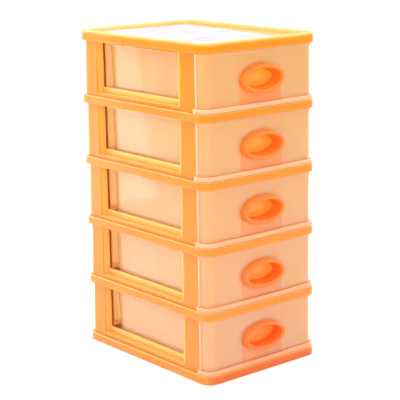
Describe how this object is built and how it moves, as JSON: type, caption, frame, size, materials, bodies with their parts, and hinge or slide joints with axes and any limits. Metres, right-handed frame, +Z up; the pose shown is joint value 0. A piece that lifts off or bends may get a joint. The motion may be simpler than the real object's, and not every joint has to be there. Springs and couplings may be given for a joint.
{
  "type": "desktop drawer tower",
  "caption": "Tall plastic desktop tower of stacked tiers with open side windows, translucent sliding drawers with oval recessed pulls, and a tray lid.",
  "frame": {"origin": "on the ground at the middle of the overall box, pulls included, under the lowest flange", "axes": "+X across the front to the right of a user facing the drawers, +Y from the front to the back, +Z up; the drawers slide out along -Y"},
  "size_m": [0.18, 0.2536, 0.408],
  "materials": {
    "frame_plastic": "glossy moulded orange polypropylene",
    "pull_plastic": "glossy deep orange",
    "drawer_plastic": "translucent peach, softly glossy",
    "card": "satin sheet with a pastel pattern"
  },
  "bodies": {
    "tower": {"shelf_1": "frame_plastic", "left_side_1": "frame_plastic", "right_side_1": "frame_plastic", "back_panel_1": "frame_plastic", "shelf_2": "frame_plastic", "left_side_2": "frame_plastic", "right_side_2": "frame_plastic", "back_panel_2": "frame_plastic", "shelf_3": "frame_plastic", "left_side_3": "frame_plastic", "right_side_3": "frame_plastic", "back_panel_3": "frame_plastic", "shelf_4": "frame_plastic", "left_side_4": "frame_plastic", "right_side_4": "frame_plastic", "back_panel_4": "frame_plastic", "shelf_5": "frame_plastic", "left_side_5": "frame_plastic", "right_side_5": "frame_plastic", "back_panel_5": "frame_plastic", "lid": "frame_plastic", "top_card": "card"},
    "sliding_drawer_1": {"drawer_1": "drawer_plastic", "handle_1": "pull_plastic"},
    "sliding_drawer_2": {"drawer_2": "drawer_plastic", "handle_2": "pull_plastic"},
    "sliding_drawer_3": {"drawer_3": "drawer_plastic", "handle_3": "pull_plastic"},
    "sliding_drawer_4": {"drawer_4": "drawer_plastic", "handle_4": "pull_plastic"},
    "sliding_drawer_5": {"drawer_5": "drawer_plastic", "handle_5": "pull_plastic"}
  },
  "joints": [
    {"name": "drawer_slide_1", "type": "slide", "parent": "tower", "child": "sliding_drawer_1", "axis": [0, -1, 0], "range_m": [0, 0.165]},
    {"name": "drawer_slide_2", "type": "slide", "parent": "tower", "child": "sliding_drawer_2", "axis": [0, -1, 0], "range_m": [0, 0.165]},
    {"name": "drawer_slide_3", "type": "slide", "parent": "tower", "child": "sliding_drawer_3", "axis": [0, -1, 0], "range_m": [0, 0.165]},
    {"name": "drawer_slide_4", "type": "slide", "parent": "tower", "child": "sliding_drawer_4", "axis": [0, -1, 0], "range_m": [0, 0.165]},
    {"name": "drawer_slide_5", "type": "slide", "parent": "tower", "child": "sliding_drawer_5", "axis": [0, -1, 0], "range_m": [0, 0.165]}
  ]
}
